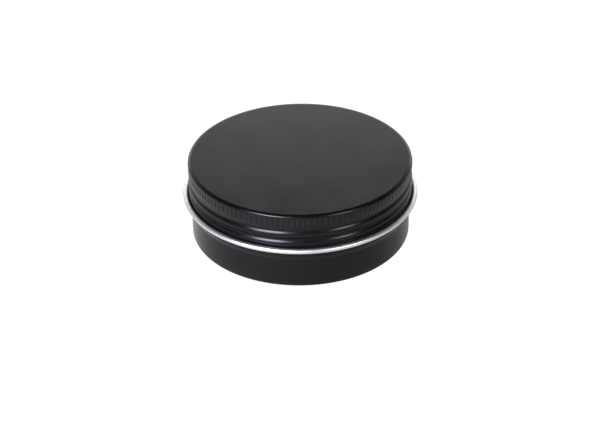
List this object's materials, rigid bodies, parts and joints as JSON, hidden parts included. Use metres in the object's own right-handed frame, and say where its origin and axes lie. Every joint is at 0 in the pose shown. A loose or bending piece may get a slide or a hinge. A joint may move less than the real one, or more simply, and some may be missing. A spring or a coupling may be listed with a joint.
{
  "type": "shoe polish tin",
  "caption": "Round shallow black screw-top tin for shoe polish, with a knurled lid, a rolled thread and a bare metal curled hem around its middle.",
  "frame": {"origin": "middle of the foot, on the surface that the tin stands on", "axes": "+Z is the tin's axis, from foot to lid; -Y faces the viewer of the front view"},
  "size_m": [0.071, 0.071, 0.025],
  "materials": {
    "black_lacquer": "satin black stoving lacquer on aluminium sheet, bare inside and on the curled hem",
    "wax": "black wax, satin with a slight oily sheen",
    "foam": "white closed-cell foam sheet"
  },
  "bodies": {
    "base": {"base_cup": "black_lacquer", "polish": "wax"},
    "liner": {"lid_liner": "foam"},
    "lid": {"lid": "black_lacquer"}
  },
  "joints": [
    {"name": "lid_lift", "type": "slide", "parent": "base", "child": "liner", "axis": [0, 0, 1], "range_m": [0, 0.018]},
    {"name": "lid_turn", "type": "hinge", "parent": "liner", "child": "lid", "pos_m": [0, 0, 0.02], "axis": [0, 0, 1], "range_deg": [0, 2160]}
  ],
  "couplings": [
    {"joint": "lid_lift", "follows": "lid_turn", "m_per_rad": 0.00047746}
  ]
}
